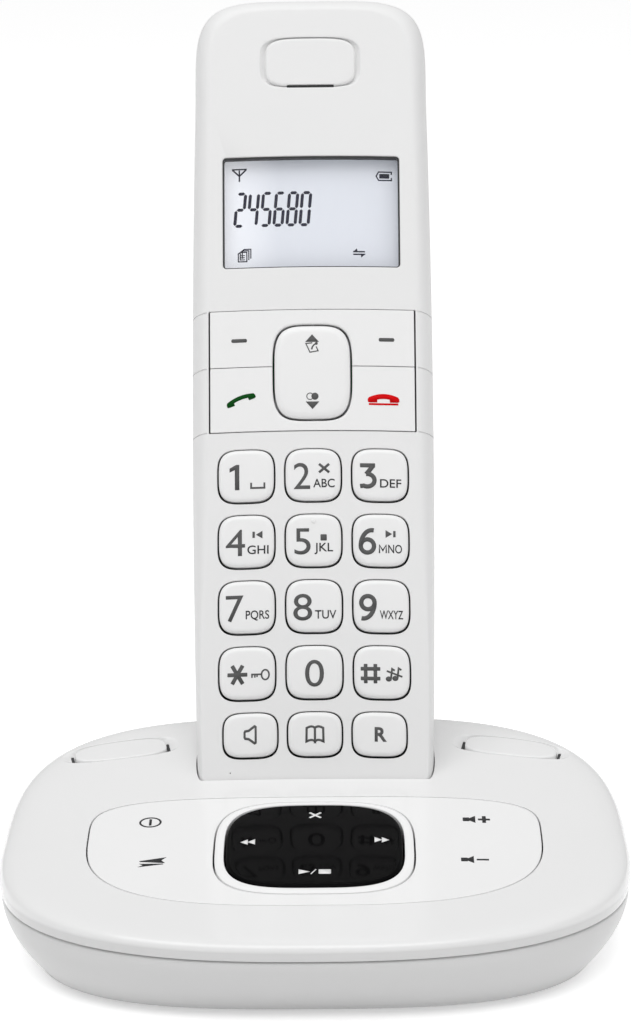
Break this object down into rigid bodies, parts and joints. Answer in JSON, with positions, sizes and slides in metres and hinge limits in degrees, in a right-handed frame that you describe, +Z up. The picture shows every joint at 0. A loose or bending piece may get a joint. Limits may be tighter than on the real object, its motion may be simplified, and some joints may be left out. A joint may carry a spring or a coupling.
{
  "type": "cordless telephone",
  "caption": "Cordless telephone with large keys: a slim white handset with a display leans back in an oval charging base with a black message pad and a tipping key plate.",
  "frame": {"origin": "on the table under the middle of the bounding box", "axes": "+Z up, the front with the display and keys faces -Y, +X to the right of a person facing the telephone"},
  "size_m": [0.1258, 0.1472, 0.1797],
  "materials": {
    "handset_white": "satin gloss",
    "base_white": "gloss",
    "lower_white": "satin",
    "key_white": "satin",
    "pad_black": "high gloss",
    "lens_clear": "clear",
    "display_blue": "satin",
    "board_green": "satin",
    "soft_rubber": "matt",
    "steel": "plain",
    "dark_plastic": "matt",
    "cell_wrap": "printed film"
  },
  "bodies": {
    "base": {"base_top_shell": "base_white", "base_bottom_shell": "lower_white", "cradle": "lower_white", "charging_springs": "steel", "base_board": "board_green", "control_frame": "dark_plastic", "switch_domes": "soft_rubber", "pad_bezel": "base_white", "sound_tab_left": "base_white", "sound_tab_right": "base_white", "base_speaker": "dark_plastic", "power_socket": "dark_plastic", "line_socket": "dark_plastic", "base_feet": "soft_rubber", "base_screws": "steel"},
    "handset": {"handset_front_shell": "handset_white", "handset_rear_shell": "handset_white", "display_lens": "lens_clear", "display_module": "display_blue", "handset_board": "board_green", "key_mat": "soft_rubber", "key_bracket": "steel", "key_pivot_pins": "steel", "earpiece_pad": "key_white", "earpiece_receiver": "dark_plastic", "microphone": "dark_plastic", "handsfree_speaker": "dark_plastic", "battery_tray": "dark_plastic", "battery_cells": "cell_wrap", "battery_contacts": "steel", "handset_contacts": "steel", "handset_screws": "steel"},
    "key_1": {"key_1": "key_white"},
    "key_2": {"key_2": "key_white"},
    "key_3": {"key_3": "key_white"},
    "key_4": {"key_4": "key_white"},
    "key_5": {"key_5": "key_white"},
    "key_6": {"key_6": "key_white"},
    "key_7": {"key_7": "key_white"},
    "key_8": {"key_8": "key_white"},
    "key_9": {"key_9": "key_white"},
    "key_star": {"key_star": "key_white"},
    "key_0": {"key_0": "key_white"},
    "key_hash": {"key_hash": "key_white"},
    "key_speaker": {"key_speaker": "key_white"},
    "key_book": {"key_book": "key_white"},
    "key_r": {"key_r": "key_white"},
    "soft_key_bar": {"soft_key_bar": "key_white"},
    "call_key_bar": {"call_key_bar": "key_white"},
    "nav_rocker": {"nav_rocker": "key_white"},
    "battery_door": {"battery_door": "handset_white"},
    "plate_gimbal": {"plate_gimbal": "steel"},
    "key_plate": {"key_plate": "base_white"},
    "pad_gimbal": {"pad_gimbal": "steel"},
    "message_pad": {"message_pad": "pad_black"}
  },
  "joints": [
    {"name": "handset_lift", "type": "slide", "parent": "base", "child": "handset", "axis": [0, 0.3584, 0.9336], "range_m": [0, 0.045]},
    {"name": "key_1_press", "type": "slide", "parent": "handset", "child": "key_1", "axis": [0, 0.9336, -0.3584], "range_m": [0, 0.0008], "stiffness_N_per_m": 400},
    {"name": "key_2_press", "type": "slide", "parent": "handset", "child": "key_2", "axis": [0, 0.9336, -0.3584], "range_m": [0, 0.0008], "stiffness_N_per_m": 400},
    {"name": "key_3_press", "type": "slide", "parent": "handset", "child": "key_3", "axis": [0, 0.9336, -0.3584], "range_m": [0, 0.0008], "stiffness_N_per_m": 400},
    {"name": "key_4_press", "type": "slide", "parent": "handset", "child": "key_4", "axis": [0, 0.9336, -0.3584], "range_m": [0, 0.0008], "stiffness_N_per_m": 400},
    {"name": "key_5_press", "type": "slide", "parent": "handset", "child": "key_5", "axis": [0, 0.9336, -0.3584], "range_m": [0, 0.0008], "stiffness_N_per_m": 400},
    {"name": "key_6_press", "type": "slide", "parent": "handset", "child": "key_6", "axis": [0, 0.9336, -0.3584], "range_m": [0, 0.0008], "stiffness_N_per_m": 400},
    {"name": "key_7_press", "type": "slide", "parent": "handset", "child": "key_7", "axis": [0, 0.9336, -0.3584], "range_m": [0, 0.0008], "stiffness_N_per_m": 400},
    {"name": "key_8_press", "type": "slide", "parent": "handset", "child": "key_8", "axis": [0, 0.9336, -0.3584], "range_m": [0, 0.0008], "stiffness_N_per_m": 400},
    {"name": "key_9_press", "type": "slide", "parent": "handset", "child": "key_9", "axis": [0, 0.9336, -0.3584], "range_m": [0, 0.0008], "stiffness_N_per_m": 400},
    {"name": "key_star_press", "type": "slide", "parent": "handset", "child": "key_star", "axis": [0, 0.9336, -0.3584], "range_m": [0, 0.0008], "stiffness_N_per_m": 400},
    {"name": "key_0_press", "type": "slide", "parent": "handset", "child": "key_0", "axis": [0, 0.9336, -0.3584], "range_m": [0, 0.0008], "stiffness_N_per_m": 400},
    {"name": "key_hash_press", "type": "slide", "parent": "handset", "child": "key_hash", "axis": [0, 0.9336, -0.3584], "range_m": [0, 0.0008], "stiffness_N_per_m": 400},
    {"name": "key_speaker_press", "type": "slide", "parent": "handset", "child": "key_speaker", "axis": [0, 0.9336, -0.3584], "range_m": [0, 0.0008], "stiffness_N_per_m": 400},
    {"name": "key_book_press", "type": "slide", "parent": "handset", "child": "key_book", "axis": [0, 0.9336, -0.3584], "range_m": [0, 0.0008], "stiffness_N_per_m": 400},
    {"name": "key_r_press", "type": "slide", "parent": "handset", "child": "key_r", "axis": [0, 0.9336, -0.3584], "range_m": [0, 0.0008], "stiffness_N_per_m": 400},
    {"name": "soft_bar_rock", "type": "hinge", "parent": "handset", "child": "soft_key_bar", "pos_m": [0, 0.03434, 0.11539], "axis": [0, 0.3584, 0.9336], "range_deg": [-1.6, 1.6], "stiffness_Nm_per_rad": 0.3},
    {"name": "call_bar_rock", "type": "hinge", "parent": "handset", "child": "call_key_bar", "pos_m": [0, 0.02617, 0.0941], "axis": [0, 0.3584, 0.9336], "range_deg": [-1.6, 1.6], "stiffness_Nm_per_rad": 0.3},
    {"name": "nav_rock", "type": "hinge", "parent": "handset", "child": "nav_rocker", "pos_m": [0, 0.03015, 0.10447], "axis": [1, 0, 0], "range_deg": [-2.5, 2.5], "stiffness_Nm_per_rad": 0.15},
    {"name": "battery_door_off", "type": "slide", "parent": "handset", "child": "battery_door", "axis": [0, 0.9336, -0.3584], "range_m": [0, 0.012]},
    {"name": "plate_roll", "type": "hinge", "parent": "base", "child": "plate_gimbal", "pos_m": [0, -0.03806, 0.0116], "axis": [0, 1, 0], "range_deg": [-1, 1], "stiffness_Nm_per_rad": 1.5},
    {"name": "plate_pitch", "type": "hinge", "parent": "plate_gimbal", "child": "key_plate", "pos_m": [0, -0.03806, 0.0116], "axis": [1, 0, 0], "range_deg": [-1.1, 1.1], "stiffness_Nm_per_rad": 1.5},
    {"name": "pad_roll", "type": "hinge", "parent": "base", "child": "pad_gimbal", "pos_m": [0, -0.03191, 0.01616], "axis": [0, 1, 0], "range_deg": [-2, 2], "stiffness_Nm_per_rad": 0.8},
    {"name": "pad_pitch", "type": "hinge", "parent": "pad_gimbal", "child": "message_pad", "pos_m": [0, -0.03191, 0.01616], "axis": [1, 0, 0], "range_deg": [-2, 2], "stiffness_Nm_per_rad": 0.8}
  ]
}
